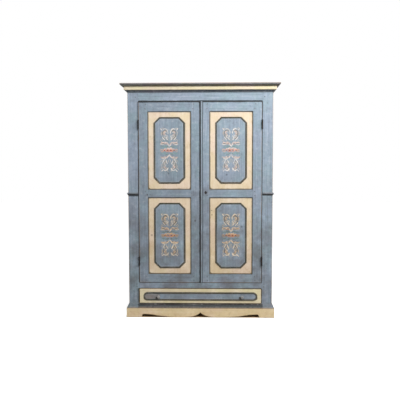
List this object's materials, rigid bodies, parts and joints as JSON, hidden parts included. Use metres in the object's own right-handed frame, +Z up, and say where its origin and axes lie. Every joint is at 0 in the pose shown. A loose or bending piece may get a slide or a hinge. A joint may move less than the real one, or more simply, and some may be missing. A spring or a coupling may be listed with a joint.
{
  "type": "tv armoire",
  "caption": "Tall painted armoire for a television: two framed doors with sunk panels and canted tablets, a full-width drawer, moulded cornice, waist moulding and a scalloped plinth.",
  "frame": {"origin": "on the floor, under the middle of the whole piece, cornice included", "axes": "+X to the right seen from the front, +Y to the back and the wall, +Z up"},
  "size_m": [1.348, 0.587, 2],
  "materials": {
    "blue_paint": "aged matte blue paint on wood, worn along the edges",
    "deep_blue_paint": "aged matte dark blue paint on wood",
    "cream_paint": "aged matte cream paint on wood, yellowed and rubbed",
    "bare_wood": "unpainted softwood, darkened with age",
    "iron": "blackened wrought iron, lightly rusted"
  },
  "bodies": {
    "carcass": {"left_side": "blue_paint", "right_side": "blue_paint", "left_stile": "blue_paint", "right_stile": "blue_paint", "top_rail": "blue_paint", "middle_rail": "blue_paint", "bottom_rail": "blue_paint", "back_panel": "bare_wood", "cabinet_floor": "bare_wood", "component_shelf": "bare_wood", "tv_shelf": "bare_wood", "top_board": "blue_paint", "cornice_front": "cream_paint", "cornice_left": "cream_paint", "cornice_right": "cream_paint", "waist_moulding_left": "deep_blue_paint", "waist_moulding_right": "deep_blue_paint", "plinth_front": "cream_paint", "plinth_left": "cream_paint", "plinth_right": "cream_paint", "drawer_runner_left": "bare_wood", "drawer_runner_right": "bare_wood", "upper_left_hinge_frame_leaf": "iron", "lower_left_hinge_frame_leaf": "iron", "upper_right_hinge_frame_leaf": "iron", "lower_right_hinge_frame_leaf": "iron"},
    "left_door": {"left_door_hinge_stile": "blue_paint", "left_door_lock_stile": "blue_paint", "left_door_top_rail": "blue_paint", "left_door_lock_rail": "blue_paint", "left_door_bottom_rail": "blue_paint", "left_door_upper_panel": "cream_paint", "left_door_lower_panel": "cream_paint", "left_door_upper_tablet": "blue_paint", "left_door_lower_tablet": "blue_paint", "upper_left_hinge_door_leaf": "iron", "lower_left_hinge_door_leaf": "iron"},
    "right_door": {"right_door_hinge_stile": "blue_paint", "right_door_lock_stile": "blue_paint", "right_door_top_rail": "blue_paint", "right_door_lock_rail": "blue_paint", "right_door_bottom_rail": "blue_paint", "right_door_upper_panel": "cream_paint", "right_door_lower_panel": "cream_paint", "right_door_upper_tablet": "blue_paint", "right_door_lower_tablet": "blue_paint", "astragal": "blue_paint", "keyhole_escutcheon": "iron", "lock_case": "iron", "upper_right_hinge_door_leaf": "iron", "lower_right_hinge_door_leaf": "iron"},
    "lock_bolt": {"lock_bolt": "iron"},
    "drawer": {"drawer_front": "cream_paint", "drawer_back": "bare_wood", "drawer_bottom": "bare_wood", "drawer_strip": "blue_paint", "drawer_side_left": "bare_wood", "drawer_side_right": "bare_wood", "drawer_knob_left": "blue_paint", "drawer_knob_right": "blue_paint"}
  },
  "joints": [
    {"name": "left_door_swing", "type": "hinge", "parent": "carcass", "child": "left_door", "pos_m": [-0.526, -0.244, 0], "axis": [0, 0, -1], "range_deg": [0, 170]},
    {"name": "right_door_swing", "type": "hinge", "parent": "carcass", "child": "right_door", "pos_m": [0.526, -0.244, 0], "axis": [0, 0, 1], "range_deg": [0, 170]},
    {"name": "bolt_throw", "type": "slide", "parent": "right_door", "child": "lock_bolt", "axis": [-1, 0, 0], "range_m": [0, 0.01]},
    {"name": "drawer_slide", "type": "slide", "parent": "carcass", "child": "drawer", "axis": [0, -1, 0], "range_m": [0, 0.36]}
  ]
}
